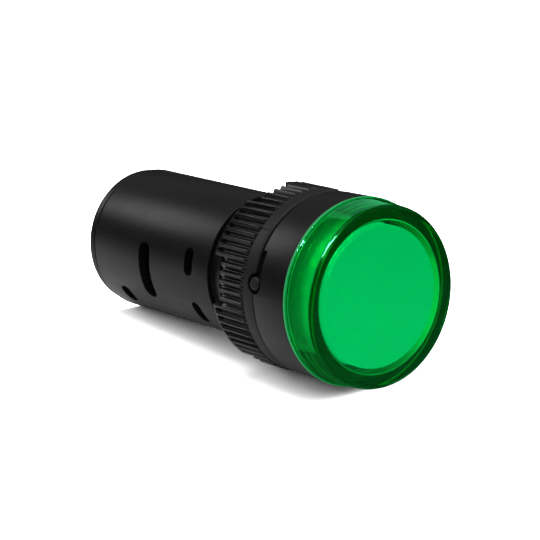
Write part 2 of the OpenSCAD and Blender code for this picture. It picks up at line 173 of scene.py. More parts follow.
def remap(
    tree: bpy.types.NodeTree, value: bpy.types.NodeSocket, before: tuple[float, float],
    after: tuple[float, float], curve: str = "SMOOTHSTEP",
) -> bpy.types.NodeSocket:
    """Maps one range of values to another.

    Args:
        tree: the node tree.
        value: the values to map.
        before: their own range.
        after: the range that they get.
        curve: LINEAR, or SMOOTHSTEP for soft ends.

    Returns:
        The mapped values.
    """
    ranges = {"From Min": before[0], "From Max": before[1], "To Min": after[0], "To Max": after[1]}
    return add_node(
        tree, "ShaderNodeMapRange", ranges, {"Value": value}, interpolation_type=curve
    ).outputs["Result"]


def mix_shaders(tree: bpy.types.NodeTree, *parts: bpy.types.NodeSocket) -> bpy.types.NodeSocket:
    """Mixes two shaders.

    Args:
        tree: the node tree.
        parts: the factor, the shader where it is 0 and the shader where it is 1.

    Returns:
        The mixed shader.
    """
    return add_node(tree, "ShaderNodeMixShader", links=dict(enumerate(parts))).outputs["Shader"]


@dataclass(frozen=True)
class Finish:
    """One opaque surface finish, named for what the real piece is made of."""

    name: str
    colour: str
    shade: str
    roughness: float
    roughness_spread: float
    ior: float = 1.5
    gloss: float = 0.5
    metallic: float = 0.0
    grain_mm: float = 0.25
    grain_depth_mm: float = 0.004
    mottle_mm: float = 4.0

    def build(self) -> bpy.types.Material:
        """Builds the node material.

        Returns:
            A material with mottled colour, uneven gloss and a moulded or brushed grain.
        """
        material, tree, place = new_tree(self.name)
        mottle = noise(tree, place, self.mottle_mm, 3.0)
        grain = noise(tree, place, self.grain_mm, 2.0)
        smoothest, roughest = self.roughness - self.roughness_spread, self.roughness + self.roughness_spread
        bump = add_node(
            tree, "ShaderNodeBump", {"Distance": self.grain_depth_mm * MM, "Strength": 1.0}, {"Height": grain}
        )
        values: dict[str, Any] = {"Metallic": self.metallic}
        if not self.metallic:
            values.update({"IOR": self.ior, "Specular IOR Level": self.gloss})
        surface = add_node(tree, "ShaderNodeBsdfPrincipled", values, {
            "Base Color": blend(tree, (self.colour, self.shade), mottle),
            "Roughness": remap(tree, mottle, (0.0, 1.0), (smoothest, roughest), "LINEAR"),
            "Normal": bump.outputs["Normal"],
        })
        add_node(tree, "ShaderNodeOutputMaterial", links={"Surface": surface.outputs["BSDF"]})
        return material


@dataclass(frozen=True)
class ClearFinish:
    """Clear dyed plastic: light passes through, the wall's thickness deepens the colour, and a faint painted
    glow lifts it.
    """

    name: str
    absorbed_per_mm: tuple[float, float, float]
    surface_tint: str
    gloss_tint: str
    gloss: float
    painted_glow: str
    painted_glow_strength: float
    roughness: float = 0.02
    ior: float = 1.49
    wave_mm: float = 6.0
    wave_depth_mm: float = 0.02
    wave_strength: float = 0.6

    def surface(self, tree: bpy.types.NodeTree, place: bpy.types.NodeSocket) -> bpy.types.NodeSocket:
        """Builds the refracting surface.

        Args:
            tree: the material's node tree.
            place: the place on the object.

        Returns:
            The surface shader.
        """
        # moulded plastic is never quite flat: a long, faint wave bends what is seen through it
        wave = add_node(
            tree, "ShaderNodeBump", {"Distance": self.wave_depth_mm * MM, "Strength": self.wave_strength},
            {"Height": noise(tree, place, self.wave_mm, 1.0)},
        ).outputs["Normal"]
        # outside, the dye and an anti-glare skin hold the reflection back
        bend = add_node(
            tree, "ShaderNodeBsdfRefraction",
            {"Color": linear(self.surface_tint), "Roughness": self.roughness, "IOR": self.ior},
            {"Normal": wave},
        ).outputs["BSDF"]
        shine = add_node(
            tree, "ShaderNodeBsdfGlossy",
            {"Color": linear(self.gloss_tint), "Roughness": self.roughness}, {"Normal": wave},
        ).outputs["BSDF"]
        fresnel = add_node(tree, "ShaderNodeFresnel", {"IOR": self.ior}, {"Normal": wave}).outputs["Fac"]
        share = add_node(
            tree, "ShaderNodeMath", {1: self.gloss}, {0: fresnel}, operation="MULTIPLY"
        ).outputs["Value"]
        # inside, light is trapped as in glass
        trap = add_node(
            tree, "ShaderNodeBsdfGlass", {"Color": (1, 1, 1, 1), "Roughness": 0.0, "IOR": self.ior}
        ).outputs["BSDF"]
        inside = add_node(tree, "ShaderNodeNewGeometry").outputs["Backfacing"]
        return mix_shaders(tree, inside, mix_shaders(tree, share, bend, shine), trap)

    def volume(self, tree: bpy.types.NodeTree) -> bpy.types.NodeSocket:
        """Builds the absorbing volume.

        Args:
            tree: the material's node tree.

        Returns:
            The volume shader.
        """
        # absorption is (1 - colour) * density, so the strongest channel sets the density
        density = max(self.absorbed_per_mm)
        red, green, blue = (1 - value / density for value in self.absorbed_per_mm)
        absorbed = add_node(
            tree, "ShaderNodeVolumeAbsorption", {"Color": (red, green, blue, 1.0), "Density": density / MM}
        ).outputs["Volume"]
        # painted glow: an emission in the volume stands in for light scattered by the dye and lifts the
        # deepest green
        painted_glow = add_node(
            tree, "ShaderNodeEmission", {"Color": linear(self.painted_glow), "Strength": self.painted_glow_strength / MM}
        ).outputs["Emission"]
        return add_node(tree, "ShaderNodeAddShader", links={0: absorbed, 1: painted_glow}).outputs["Shader"]

    def build(self) -> bpy.types.Material:
        """Builds a refracting surface over an absorbing volume.

        Returns:
            The material.
        """
        material, tree, place = new_tree(self.name)
        shaders = {"Surface": self.surface(tree, place), "Volume": self.volume(tree)}
        add_node(tree, "ShaderNodeOutputMaterial", links=shaders)
        return material


@dataclass(frozen=True)
class GlowFinish:
    """Translucent plastic with a painted glow, brightest at its front and darker towards the rear as painted
    shade.
    """

    name: str
    colour: str
    shade: str
    glow: float
    fade_mm: tuple[float, float]
    fade_to: float = 0.25
    cloud_mm: float = 9.0
    roughness: float = 0.55
    ior: float = 1.5

    def build(self) -> bpy.types.Material:
        """Builds the translucent plastic's material.

        Returns:
            A matt surface with a weak painted glow that fades towards the rear, a painted shade.
        """
        material, tree, place = new_tree(self.name)
        tint = blend(tree, (self.colour, self.shade), noise(tree, place, self.cloud_mm, 1.0))
        # painted glow: the emission stands in for light, and its fade towards the rear is painted shade
        depth = add_node(tree, "ShaderNodeSeparateXYZ", links={"Vector": place}).outputs["Y"]
        front, rear = self.fade_mm
        glow = remap(tree, depth, (front * MM, rear * MM), (self.glow, self.glow * self.fade_to))
        surface = add_node(
            tree, "ShaderNodeBsdfPrincipled", {"Roughness": self.roughness, "IOR": self.ior},
            {"Base Color": tint, "Emission Color": tint, "Emission Strength": glow},
        )
        add_node(tree, "ShaderNodeOutputMaterial", links={"Surface": surface.outputs["BSDF"]})
        return material


# Moulded black polycarbonate: satin, with a fine spark-eroded grain that softens highlights.
HOUSING_PLASTIC = Finish("moulded_black_polycarbonate", "0c0c0d", "111112", 0.36, 0.04, 1.55, 0.19)
# Black nylon of the nut: a little glossier than the housing.
NUT_NYLON = Finish("moulded_black_nylon", "08080a", "0e0e0f", 0.27, 0.04, 1.53, 0.26, grain_mm=0.2)
# Black rubber of the gasket: matt, with a dusty bloom.
GASKET_RUBBER = Finish("black_nitrile_rubber", "121213", "19191a", 0.5, 0.06, 1.5, 0.24, grain_mm=0.3)
# Clear green acrylic of the lens: polished, deeper where the wall is thick, with a faint painted glow in its
# volume.
LENS_ACRYLIC = ClearFinish(
    "clear_green_acrylic", (3.0, 0.12, 0.6), "18fcd9", "60ffb0", 0.3, "10f070", 0.0075
)
# Milky diffuser behind the lens: its painted glow carries the even bright disc, though the lamp is not lit.
DIFFUSER_PAINTED_GLOW = GlowFinish("milky_green_diffuser_painted_glow", "04a680", "03a079", 0.9, (-11.4, -9.6), 0.35)
# Rear edge of the lens: a painted glow stands in for light trapped in the acrylic coming out.
LENS_EDGE_PAINTED_GLOW = GlowFinish("painted_glow_lens_edge", "148c4a", "0e7e40", 0.7, (-12.0, -9.0), 0.8)
# Fibreglass board coloured black as painted shade, so the gap round the diffuser stays dark.
BOARD_PAINTED_SHADE = Finish("black_board_painted_shade", "10160f", "161d15", 0.3, 0.05)
# Brown paper laminate of the long board.
BOARD_PAPER = Finish("brown_paper_laminate", "a87a40", "8e6533", 0.45, 0.08, grain_mm=0.6)
# Dark red dipped resin of the film capacitor.
DIPPED_RESIN = Finish("dipped_red_resin", "8c2018", "a02a20", 0.25, 0.05)
# Heat-shrunk sleeve of the electrolytic capacitor.
SHRINK_SLEEVE = Finish("dark_shrink_sleeve", "141a26", "1c2430", 0.3, 0.05)
# Moulded epoxy of the rectifier.
EPOXY_BLACK = Finish("moulded_black_epoxy", "121213", "19191a", 0.5, 0.08)
# Lacquer of the resistors.
RESISTOR_LACQUER = Finish("blue_resistor_lacquer", "5f9fbd", "4c8aa8", 0.35, 0.06)
# Water-clear resin of the lamps, milky from its filler.
LAMP_RESIN = Finish("water_clear_lamp_resin", "cfeed6", "b9e0c2", 0.12, 0.03)
# Stamped brass of the terminals.
TERMINAL_BRASS = Finish(
    "stamped_brass", "c79a4b", "a87f38", 0.28, 0.08, metallic=1.0, grain_mm=0.12, grain_depth_mm=0.006,
    mottle_mm=1.5,
)
# Bright zinc plating of the screws and clamp washers.
ZINC_PLATE = Finish(
    "bright_zinc_plate", "c6c8ca", "a9adb2", 0.24, 0.08, metallic=1.0, grain_mm=0.12, grain_depth_mm=0.005,
    mottle_mm=1.2,
)
# Tinned copper of the pins.
TINNED_COPPER = Finish(
    "tinned_copper", "c9cbc9", "b4b6b4", 0.3, 0.06, metallic=1.0, grain_mm=0.2, grain_depth_mm=0.003
)


# ---------------------------------------------------------------- modelling


def deselect() -> None:
    """Leaves edit mode and deselects every object."""
    if bpy.context.object and bpy.context.object.mode != "OBJECT":
        bpy.ops.object.mode_set(mode="OBJECT")
    bpy.ops.object.select_all(action="DESELECT")


def take(piece: bpy.types.Object) -> None:
    """Makes one piece the selected and active object.

    Args:
        piece: the piece.
    """
    deselect()
    piece.select_set(True)
    bpy.context.view_layer.objects.active = piece


def pick(piece: bpy.types.Object, kind: str, chosen: Callable[[Any], bool]) -> None:
    """Enters edit mode on a piece with only some of its vertices or edges selected.

    Args:
        piece: the piece.
        kind: VERT or EDGE.
        chosen: says of one vertex or edge whether it is selected.
    """
    take(piece)
    bpy.ops.object.mode_set(mode="EDIT")
    bpy.ops.mesh.select_mode(type=kind)
    bpy.ops.mesh.select_all(action="DESELECT")
    bpy.ops.object.mode_set(mode="OBJECT")
    for item in piece.data.edges if kind == "EDGE" else piece.data.vertices:
        item.select = chosen(item)
    bpy.ops.object.mode_set(mode="EDIT")


def close_ends(piece: bpy.types.Object) -> bpy.types.Object:
    """Fills a piece's open ends and turns its faces outwards.

    Args:
        piece: the piece, with its open edges.

    Returns:
        The closed piece.
    """
    take(piece)
    bpy.ops.object.mode_set(mode="EDIT")
    bpy.ops.mesh.select_all(action="SELECT")
    bpy.ops.mesh.remove_doubles(threshold=WELD)
    bpy.ops.mesh.fill_holes(sides=0)
    bpy.ops.object.mode_set(mode="OBJECT")
    return outward(piece)


def rounded(corners: Sequence[tuple[float, float, float]], steps: int = 4) -> list[Point]:
    """Rounds the corners of a closed outline.

    Args:
        corners: each corner as (radius, y, fillet radius), in order.
        steps: chords in each fillet.

    Returns:
        The outline with its fillets.
    """
    points: list[Point] = []
    count = len(corners)
    for i, (x, y, fillet) in enumerate(corners):
        here = Vector((x, y))
        if fillet <= 0:
            points.append((x, y))
            continue
        before = (Vector(corners[i - 1][:2]) - here).normalized()
        after = (Vector(corners[(i + 1) % count][:2]) - here).normalized()
        half = math.acos(max(-1.0, min(1.0, before.dot(after)))) / 2
        reach = fillet / math.tan(half)
        middle = here + (before + after).normalized() * (fillet / math.sin(half))
        first, last = here + before * reach - middle, here + after * reach - middle
        for k in range(steps + 1):
            spoke = first.lerp(last, k / steps).normalized() * fillet
            points.append((middle.x + spoke.x, middle.y + spoke.y))
    return points


def start_outline(name: str, points: Sequence[Point], closed: bool) -> bpy.types.Object:
    """Draws an outline in the XY plane by extruding one vertex along it, and stays in edit mode.

    Args:
        name: the piece's name.
        points: the outline as (radius, y).
        closed: whether the last point joins the first.

    Returns:
        The new object, with the whole outline selected.
    """
    deselect()
    bpy.ops.mesh.primitive_plane_add(size=0.1 * MM)
    piece = bpy.context.object
    piece.name = name
    piece.data.name = name
    bpy.ops.object.mode_set(mode="EDIT")
    bpy.ops.mesh.select_mode(type="VERT")
    bpy.ops.mesh.select_all(action="SELECT")
    bpy.ops.mesh.merge(type="CENTER")
    bpy.ops.transform.translate(value=(points[0][0] * MM, points[0][1] * MM, 0))
    path = list(points[1:]) + ([points[0]] if closed else [])
    here = points[0]
    for point in path:
        step = ((point[0] - here[0]) * MM, (point[1] - here[1]) * MM, 0)
        bpy.ops.mesh.extrude_region_move(TRANSFORM_OT_translate={"value": step})
        here = point
    bpy.ops.mesh.select_all(action="SELECT")
    bpy.ops.mesh.remove_doubles(threshold=WELD)
    return piece


def smooth(piece: bpy.types.Object, angle: float = 35.0) -> bpy.types.Object:
    """Shades a piece smooth.

    Args:
        piece: the piece.
        angle: the edge angle in degrees above which an edge stays sharp.

    Returns:
        The same piece.
    """
    take(piece)
    bpy.ops.object.shade_smooth_by_angle(angle=math.radians(angle))
    return piece


def outward(piece: bpy.types.Object) -> bpy.types.Object:
    """Merges doubles and turns every face outwards.

    Args:
        piece: the piece.

    Returns:
        The same piece.
    """
    take(piece)
    bpy.ops.object.mode_set(mode="EDIT")
    bpy.ops.mesh.select_all(action="SELECT")
    bpy.ops.mesh.remove_doubles(threshold=WELD)
    bpy.ops.mesh.normals_make_consistent(inside=False)
    bpy.ops.object.mode_set(mode="OBJECT")
    return piece


def revolve(name: str, points: Sequence[Point], steps: int = ROUND_STEPS) -> bpy.types.Object:
    """Spins an outline once round the light's axis; one that starts and ends on it stays open there.

    Args:
        name: the piece's name.
        points: the outline as (radius, y).
        steps: segments in the full turn.

    Returns:
        A closed solid of revolution.
    """
    on_axis = points[0][0] == 0 and points[-1][0] == 0
    piece = start_outline(name, points, closed=not on_axis)
    bpy.ops.mesh.spin(steps=steps, angle=2 * math.pi, center=(0, 0, 0), axis=(0, 1, 0))
    bpy.ops.object.mode_set(mode="OBJECT")
    return outward(piece)


def revolve_part(
    name: str, points: Sequence[Point], start: float, end: float, steps: int = 24
) -> bpy.types.Object:
    """Spins a closed outline through part of a turn and caps both ends.

    Args:
        name: the piece's name.
        points: the outline as (radius, y).
        start: first angle in degrees, from straight down towards -X.
        end: last angle in degrees.
        steps: segments in the sweep.

    Returns:
        A closed sector.
    """
    piece = start_outline(name, points, closed=True)
    bpy.ops.mesh.spin(steps=steps, angle=math.radians(end - start), center=(0, 0, 0), axis=(0, -1, 0))
    close_ends(piece)
    # the outline starts on +X, a quarter turn before straight down
    turn_about_axis(piece, start + 90)
    return piece


def bake_place(piece: bpy.types.Object) -> None:
    """Moves a piece's place, turn and scale into its mesh.

    Args:
        piece: the piece.
    """
    take(piece)
    bpy.ops.object.transform_apply(location=True, rotation=True, scale=True)


def turn_about_axis(piece: bpy.types.Object, degrees: float) -> None:
    """Turns a baked piece round the light's axis.

    Args:
        piece: the piece, with its own place already in its mesh.
        degrees: the turn, from straight down towards -X.
    """
    piece.rotation_euler = (0, math.radians(degrees), 0)
    bake_place(piece)


def block(low: Sequence[float], high: Sequence[float]) -> bpy.types.Object:
    """Makes a plain block between two corners.

    Args:
        low: its lowest x, y and z.
        high: its highest x, y and z.

    Returns:
        The block.
    """
    deselect()
    middle = [(a + b) / 2 * MM for a, b in zip(low, high)]
    bpy.ops.mesh.primitive_cube_add(size=1, location=middle)
    piece = bpy.context.object
    piece.scale = [(b - a) * MM for a, b in zip(low, high)]
    bake_place(piece)
    return piece


def post(x: float, front: float, rear: float, radius: float, steps: int = PIN_STEPS) -> bpy.types.Object:
    """Makes a cylinder along the light's axis.

    Args:
        x: how far it stands beside the axis.
        front: the y of its front end.
        rear: the y of its rear end.
        radius: its radius.
        steps: sides of the cylinder.

    Returns:
        The cylinder.
    """
    deselect()
    bpy.ops.mesh.primitive_cylinder_add(
        vertices=steps, radius=radius * MM, depth=(rear - front) * MM,
        location=(x * MM, (front + rear) / 2 * MM, 0), rotation=(math.radians(90), 0, 0),
    )
    piece = bpy.context.object
    bake_place(piece)
    return piece


def cut_away(piece: bpy.types.Object, cutters: Sequence[bpy.types.Object]) -> bpy.types.Object:
    """Cuts closed shapes out of a piece and removes them.

    Args:
        piece: the piece that is cut.
        cutters: closed objects to take away.

    Returns:
        The cut piece.
    """
    for cutter in cutters:
        take(piece)
        modifier = piece.modifiers.new("cut", "BOOLEAN")
        modifier.operation = "DIFFERENCE"
        modifier.solver = "EXACT"
        modifier.object = cutter
        bpy.ops.object.modifier_apply(modifier=modifier.name)
        bpy.data.objects.remove(cutter, do_unlink=True)
    return piece


def radial_pin(
    name: str, angle: float, y: float, radius: float, foot: float, height: float
) -> bpy.types.Object:
    """Makes a cylinder that stands out from the axis.

    Args:
        name: the piece's name.
        angle: its angle, from straight down towards -X.
        y: its place along the axis.
        radius: its own radius.
        foot: distance of its inner end from the axis.
        height: its height.

    Returns:
        The cylinder.
    """
    deselect()
    bpy.ops.mesh.primitive_cylinder_add(
        vertices=PIN_STEPS, radius=radius * MM, depth=height * MM,
        location=(0, y * MM, -(foot + height / 2) * MM),
    )
    pin = bpy.context.object
    pin.name = name
    bake_place(pin)
    turn_about_axis(pin, angle)
    return pin


def dress(piece: bpy.types.Object, material: bpy.types.Material) -> None:
    """Gives a piece one material.

    Args:
        piece: the piece.
        material: its only material.
    """
    piece.data.materials.clear()
    piece.data.materials.append(material)


def hand_over(
    piece: bpy.types.Object, body: Body, slot: str, material: bpy.types.Material, *replaced: str
) -> None:
    """Dresses a modelled piece and fits it into the frame.

    Args:
        piece: the finished piece.
        body: the body that carries it.
        slot: not used.
        material: its finish.
        replaced: the CAD nodes that it stands for.
    """
    dress(piece, material)
    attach(piece, body.value)
    if replaced:
        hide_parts(*replaced)
    LOG.info("%s: %d faces on %s", piece.name, len(piece.data.polygons), body.value)


def node_reach(node: str) -> tuple[float, float, float]:
    """Where a CAD node lies, in millimetres.

    Args:
        node: the node's name.

    Returns:
        Its lowest y, its highest y and its largest radius from the axis.
    """
    low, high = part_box(node)
    return low.y / MM, high.y / MM, max(high.x, -low.x, high.z, -low.z) / MM


# ---------------------------------------------------------------- sub-assemblies


@dataclass
class Housing:
    """Bezel, threaded neck and vented barrel, moulded in one."""

    barrel_r: float = 10.8
    bore_r: float = 9.4
    barrel_front: float = 11.6
    thread_end: float = 9.8
    thread_r: float = 11.1
    thread_root_r: float = 10.35
    relief_r: float = 9.95
    thread_pitch: float = 1.5
    thread_steps: int = 128
    thread_soft: float = 0.08
    bezel_rear: float = -2.5
    bezel_rear_r: float = 13.35
    pocket_r: float = 12.1
    pocket_floor: float = -4.8
    # each vent's y, width and length in degrees
    front_vents: tuple[float, float, float] = (16.4, 2.0, 22.5)
    front_vent_angles: tuple[float, float] = (101.0, 56.0)
    long_vent: tuple[float, float, float] = (27.6, 2.8, 48.0)
    long_vent_angle: float = 83.5
    rear_vent: tuple[float, float, float] = (35.2, 2.4, 18.0)
    rear_vent_angle: float = 53.5
    nub_angle: float = 101.0
    # the seat's y and radius
    nub_seat: tuple[float, float] = (-2.65, 1.5)
    # each keyway's depth, width, length in degrees and chords
    wide_keyway: tuple[float, float, float, int] = (0.9, 1.4, 21.0, 32)
    narrow_keyway: tuple[float, float, float, int] = (0.7, 0.6, 79.0, 56)
    keyway_lap: float = 2.0
    soft: float = 0.25
    crisp: float = 0.12

    def __post_init__(self) -> None:
        """Takes the overall reach from the frame."""
        self.bezel_front, self.barrel_rear, self.bezel_front_r = node_reach("housing")

    def shell(self) -> bpy.types.Object:
        """Models the whole wall as one spun section with soft moulded edges.

        Returns:
            The closed shell, before its vents are cut.
        """
        section = rounded([
            (self.pocket_r, self.bezel_front, self.crisp),
            (self.bezel_front_r, self.bezel_front, self.soft),
            (self.bezel_rear_r, self.bezel_rear, self.soft),
            (self.thread_root_r, self.bezel_rear, 0),
            (self.thread_root_r, self.thread_end, 0.05),
            (self.relief_r, self.thread_end, 0.1),
            (self.relief_r, self.barrel_front, 0.1),
            (self.barrel_r, self.barrel_front, 0.08),
            (self.barrel_r, self.barrel_rear, self.soft),
            (self.bore_r, self.barrel_rear, self.crisp),
            (self.bore_r, self.pocket_floor, self.crisp),
            (self.pocket_r, self.pocket_floor, 0.1),
        ])
        return revolve("housing_shell", section)

    def vent_cutter(self, place: tuple[float, float, float], angle: float) -> bpy.types.Object:
        """Makes the core that leaves one vent in the wall.

        Args:
            place: the vent's y, its width, and its length in degrees.
            angle: the angle of its middle.

        Returns:
            A prism with rounded ends, aimed at the angle.
        """
        y, width, degrees = place
        half = self.barrel_r * math.sin(math.radians(degrees / 2))
        inner = self.bore_r * math.cos(math.radians(degrees / 2)) - PAST
        depth = self.barrel_r + PAST - inner
        deselect()
        bpy.ops.mesh.primitive_cube_add(size=1, location=(0, y * MM, -(inner + depth / 2) * MM))
        core = bpy.context.object
        core.scale = (2 * half * MM, width * MM, depth * MM)
        bake_place(core)
        bpy.ops.object.mode_set(mode="EDIT")
        bpy.ops.mesh.select_all(action="DESELECT")
        bpy.ops.object.mode_set(mode="OBJECT")
        for edge in core.data.edges:
            a, b = (core.data.vertices[i].co for i in edge.vertices)
            edge.select = abs(a.z - b.z) > 0.5 * depth * MM
        bpy.ops.object.mode_set(mode="EDIT")
        # the first core is still in vertex mode here, so its two ends are rounded as well
        bpy.ops.mesh.select_mode(type="EDGE")
        # just under half the width, so that the rounded ends don't meet in a point
        bpy.ops.mesh.bevel(offset=width * MM * 0.499, segments=8, affect="EDGES")
        bpy.ops.object.mode_set(mode="OBJECT")
        turn_about_axis(core, angle)
        return outward(core)

    def keyway_cutters(self) -> list[bpy.types.Object]:
        """Makes the arc-shaped cores in the bezel's rear edge and the nub's round seat.

        Returns:
            Three cutters.
        """
        outer, here = self.bezel_front_r + PAST, self.nub_angle
        cutters = []
        for depth, width, degrees, chords in (self.wide_keyway, self.narrow_keyway):
            inner, front = self.bezel_rear_r - depth, self.bezel_rear - width
            section = [(inner, front), (outer, front), (outer, 0.0), (inner, 0.0)]
            # the second one starts a little inside the first
            lap = self.keyway_lap if cutters else 0.0
            cutters.append(revolve_part("keyway", section, here - lap, here + degrees, chords))
            here += degrees
        y, radius = self.nub_seat
        foot = self.bezel_rear_r - self.wide_keyway[0]
        cutters.append(radial_pin("nub_seat", self.nub_angle, y, radius, foot, 2 * PAST))
        return cutters

    def thread(self) -> bpy.types.Object:
        """Models the helical ridge of the neck.

        Returns:
            One closed ridge that winds round the neck.
        """
        crest, flank = self.thread_pitch / 8, self.thread_pitch * 3 / 8
        turns = int((self.thread_end - self.bezel_rear) / self.thread_pitch) - 1
        root = self.thread_root_r - 0.1
        first = self.thread_end - turns * self.thread_pitch - crest / 2 - flank
        section = [
            (root, first - crest / 2 - flank),
            (self.thread_root_r, first - crest / 2 - flank + 0.05),
            (self.thread_r - self.thread_soft, first - crest / 2),
            (self.thread_r, first - crest / 4),
            (self.thread_r, first + crest / 4),
            (self.thread_r - self.thread_soft, first + crest / 2),
            (self.thread_root_r, first + crest / 2 + flank - 0.05),
            (root, first + crest / 2 + flank),
        ]
        ridge = start_outline("neck_thread", section, closed=True)
        bpy.ops.object.mode_set(mode="OBJECT")
        screw = ridge.modifiers.new("thread", "SCREW")
        screw.axis = "Y"
        screw.steps = screw.render_steps = self.thread_steps
        screw.screw_offset = self.thread_pitch * MM
        screw.iterations = turns
        screw.use_merge_vertices = False
        bpy.ops.object.modifier_apply(modifier=screw.name)
        return close_ends(ridge)

    def build(self, material: bpy.types.Material) -> None:
        """Models, cuts and dresses the housing.

        Args:
            material: the housing's plastic.
        """
        shell = self.shell()
        cutters = self.keyway_cutters()
        for side in (0.0, 180.0):
            for angle in self.front_vent_angles:
                cutters.append(self.vent_cutter(self.front_vents, angle + side))
            cutters.append(self.vent_cutter(self.long_vent, self.long_vent_angle + side))
            cutters.append(self.vent_cutter(self.rear_vent, self.rear_vent_angle + side))
        shell = smooth(cut_away(shell, cutters))
        hand_over(shell, Body.LIGHT, "body_black", material, "housing")
        hand_over(smooth(self.thread()), Body.LIGHT, "body_black", material)


@dataclass
class MountingNut:
    """Ribbed nylon nut with spanner notches in its rear face."""

    bore_r: float = 11.3
    ribs: int = 65
    groove_depth: float = 0.62
    # width of the front chamfer, where the ribs run out
    edge: float = 0.4
    # the plain rim behind the ribs, how far it lies below their crests, and its own chamfer
    rim: float = 0.3
    rim_depth: float = 0.08
    rim_chamfer: float = 0.09
    run_out: float = 0.15
    # how far in front of its rear face the nut touches the floor
    rest_inset: float = 0.35
    notches: int = 5
    notch_arc: float = 31.0
    notch_depth: float = 2.0
    notch_angle: float = 96.5
    # depth of the surface at each point of one rib pitch, as a share of the groove's depth
    rib_shape: tuple[float, ...] = (
        0, 0, 0.06, 0.2, 0.35, 0.5, 0.65, 0.8, 0.93, 1, 0.95, 0.8, 0.6, 0.38, 0.18, 0.05
    )

    def __post_init__(self) -> None:
        """Takes the nut's place and size from the frame."""
        self.front, self.rear, self.outer_r = node_reach("mounting_nut")

    def ribbed_ring(self) -> bpy.types.Object:
        """Extrudes a ribbed outline along the axis and leaves its ends open.

        Returns:
            The ring before its bore and notches are cut.
        """
        pitch = len(self.rib_shape)
        deselect()
        bpy.ops.mesh.primitive_circle_add(
            vertices=self.ribs * pitch, radius=self.outer_r * MM, fill_type="NOTHING"
        )
        ring = bpy.context.object
        ring.name = "ribbed_nut"
        ring.rotation_euler = (math.radians(90), 0, 0)
        bake_place(ring)
        for share in sorted(set(self.rib_shape) - {0}):
            pick(ring, "VERT", lambda vertex: self.rib_shape[vertex.index % pitch] == share)
            scale = 1 - self.groove_depth * share / self.outer_r
            bpy.ops.transform.resize(value=(scale, 1, scale), center_override=(0, 0, 0))
        # the grooves run out just before the rear face and leave a thin plain rim
        here, rim_front = self.front + self.edge, self.rear - self.rim
        bpy.ops.mesh.select_all(action="SELECT")
        bpy.ops.transform.translate(value=(0, here * MM, 0))
        for y in (rim_front - self.run_out, rim_front, self.rear):
            bpy.ops.mesh.extrude_edges_move(TRANSFORM_OT_translate={"value": (0, (y - here) * MM, 0)})
            here = y
        # the front chamfer is extruded from the first loop
        first = (self.front + self.edge) * MM
        pick(ring, "VERT", lambda vertex: abs(vertex.co.y - first) < SAME)
        bpy.ops.mesh.select_mode(type="EDGE")
        bpy.ops.mesh.extrude_edges_move(TRANSFORM_OT_translate={"value": (0, -self.edge * MM, 0)})
        bpy.ops.object.mode_set(mode="OBJECT")
        self.level_loop(ring, self.front, self.groove_depth)
        self.level_loop(ring, rim_front, self.rim_depth)
        self.level_loop(ring, self.rear, self.rim_depth + self.rim_chamfer)
        return ring

    def level_loop(self, ring: bpy.types.Object, y: float, depth: float) -> None:
        """Runs the ribs out by making one loop round.

        Args:
            ring: the ribbed ring.
            y: the height of the loop.
            depth: how far the loop lies below the ribs' crests.
        """
        def radius_of(vertex: bpy.types.MeshVertex) -> float:
            """Gives a vertex's distance from the axis, or 0 if it is off the loop."""
            here = abs(vertex.co.y - y * MM) < SAME
            return math.hypot(vertex.co.x, vertex.co.z) if here else 0.0

        radii = {round(radius_of(vertex) / SAME): radius_of(vertex) for vertex in ring.data.vertices}
        for radius in filter(None, radii.values()):
            pick(ring, "VERT", lambda vertex: abs(radius_of(vertex) - radius) < SAME)
            size = (self.outer_r - depth) * MM / radius
            bpy.ops.transform.resize(value=(size, 1, size), center_override=(0, y * MM, 0))
            bpy.ops.object.mode_set(mode="OBJECT")

    def build(self, material: bpy.types.Material) -> None:
        """Models, notches and dresses the nut.

        Args:
            material: the nut's nylon.
        """
        cutters = [post(0.0, self.front - PAST, self.rear + PAST, self.bore_r, ROUND_STEPS)]
        inner, outer = self.bore_r - PAST, self.outer_r + PAST
        floor, above = self.rear - self.notch_depth, self.rear + PAST
        section = [(inner, floor), (outer, floor), (outer, above), (inner, above)]
        for i in range(self.notches):
            start = self.notch_angle - self.notch_arc / 2 + i * 360 / self.notches
            cutters.append(revolve_part("notch", section, start, start + self.notch_arc, 16))
        nut = smooth(cut_away(close_ends(self.ribbed_ring()), cutters), 40)
        hand_over(nut, Body.NUT, "nut_black", material, "mounting_nut")


